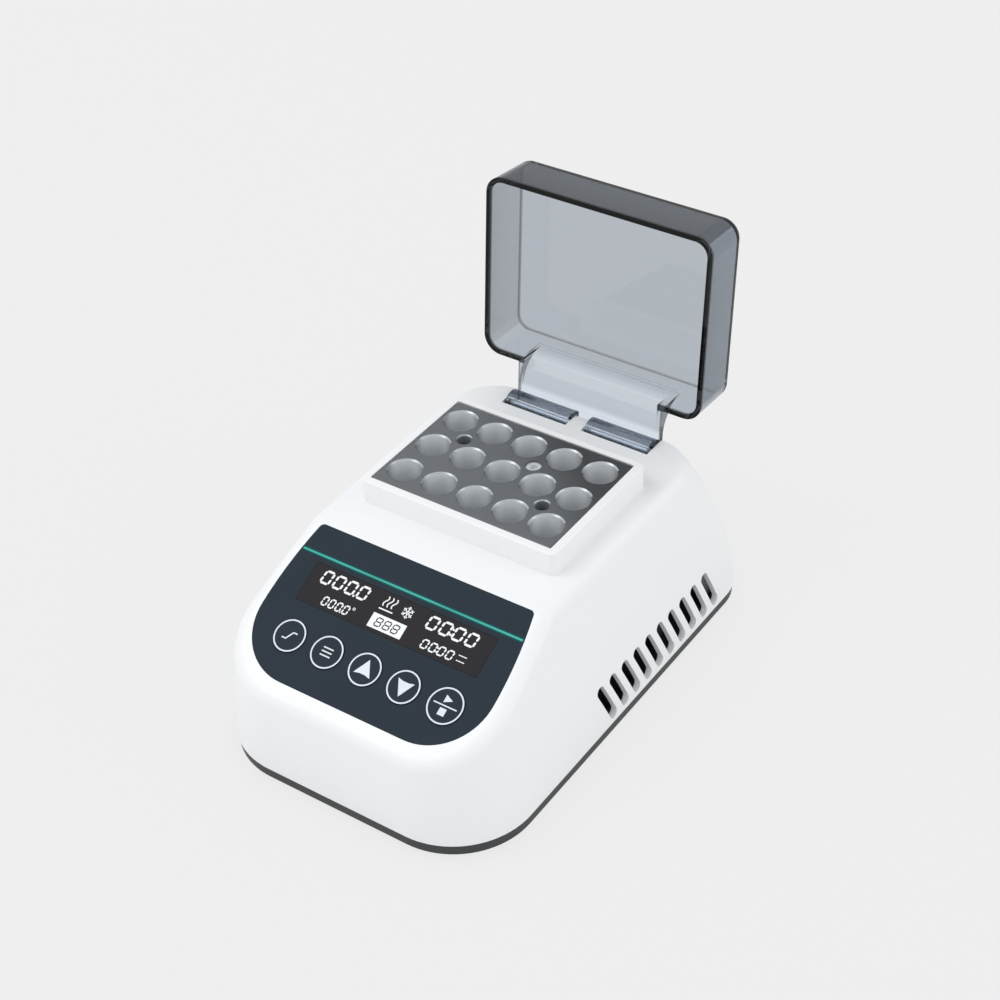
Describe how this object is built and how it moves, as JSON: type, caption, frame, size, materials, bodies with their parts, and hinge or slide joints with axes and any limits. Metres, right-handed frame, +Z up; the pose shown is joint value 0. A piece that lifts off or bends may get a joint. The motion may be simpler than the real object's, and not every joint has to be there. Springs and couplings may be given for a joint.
{
  "type": "dry bath incubator",
  "caption": "Compact bench dry bath that heats or cools small tubes in a drilled metal block under a hinged see-through lid, with a sloping key panel.",
  "frame": {"origin": "on the bench under the feet, on the centre plane, midway between the housing's front and the raised lid's rearmost edge", "axes": "+Z up, +Y from the control panel at the front towards the lid hinge at the rear, +X to the right seen from the front"},
  "size_m": [0.109, 0.1742, 0.1391],
  "materials": {
    "housing_plastic": "fine moulded satin",
    "tray_plastic": "fine moulded satin",
    "lid_clear": "smoke-tinted clear, polished",
    "foot_rubber": "matt",
    "steel": "plain",
    "block_metal": "dark hard-anodised, machined bright rims",
    "plate_metal": "plain",
    "ceramic": "ceramic plates",
    "foam": "closed-cell foam",
    "fan_plastic": "moulded",
    "board_green": "solder mask",
    "display_dark": "display glass",
    "switch_plastic": "moulded",
    "overlay_slate": "fine matt film",
    "window_dark": "smooth dark window",
    "key_slate": "fine matt, printed ring"
  },
  "bodies": {
    "base": {"upper_housing": "housing_plastic", "base_tray": "tray_plastic", "left_front_foot": "foot_rubber", "left_rear_foot": "foot_rubber", "right_front_foot": "foot_rubber", "right_rear_foot": "foot_rubber", "hinge_pin": "steel", "tube_block": "block_metal", "block_screw": "steel", "heat_plate": "plate_metal", "temperature_sensor": "steel", "peltier_module": "ceramic", "insulation_frame": "foam", "heat_sink": "plate_metal", "sink_screws": "steel", "fan_frame": "fan_plastic", "fan_screws": "steel", "main_board": "board_green", "board_screws": "steel", "panel_board": "board_green", "panel_board_screws": "steel", "display_module": "display_dark", "key_switches": "switch_plastic", "panel_overlay": "overlay_slate", "display_window": "window_dark", "power_jack": "switch_plastic", "power_switch_body": "switch_plastic", "base_screws": "steel"},
    "lid_body": {"lid": "lid_clear"},
    "fan_body": {"fan_rotor": "fan_plastic"},
    "rocker_body": {"power_rocker": "switch_plastic"},
    "program_key": {"program_key": "key_slate"},
    "menu_key": {"menu_key": "key_slate"},
    "up_key": {"up_key": "key_slate"},
    "down_key": {"down_key": "key_slate"},
    "start_stop_key": {"start_stop_key": "key_slate"}
  },
  "joints": [
    {"name": "lid_hinge", "type": "hinge", "parent": "base", "child": "lid_body", "pos_m": [0, 0.0562, 0.0598], "axis": [1, 0, 0], "range_deg": [0, 95.8]},
    {"name": "fan_spin", "type": "hinge", "parent": "base", "child": "fan_body", "pos_m": [0, 0.0098, 0.0112], "axis": [0, 0, 1], "continuous": true},
    {"name": "power_rock", "type": "hinge", "parent": "base", "child": "rocker_body", "pos_m": [-0.015, 0.0708, 0.025], "axis": [1, 0, 0], "range_deg": [-16, 0]},
    {"name": "program_press", "type": "slide", "parent": "base", "child": "program_key", "axis": [0, 0.4493, -0.8934], "range_m": [0, 0.0004], "stiffness_N_per_m": 1500},
    {"name": "menu_press", "type": "slide", "parent": "base", "child": "menu_key", "axis": [0, 0.4493, -0.8934], "range_m": [0, 0.0004], "stiffness_N_per_m": 1500},
    {"name": "up_press", "type": "slide", "parent": "base", "child": "up_key", "axis": [0, 0.4493, -0.8934], "range_m": [0, 0.0004], "stiffness_N_per_m": 1500},
    {"name": "down_press", "type": "slide", "parent": "base", "child": "down_key", "axis": [0, 0.4493, -0.8934], "range_m": [0, 0.0004], "stiffness_N_per_m": 1500},
    {"name": "start_stop_press", "type": "slide", "parent": "base", "child": "start_stop_key", "axis": [0, 0.4493, -0.8934], "range_m": [0, 0.0004], "stiffness_N_per_m": 1500}
  ]
}
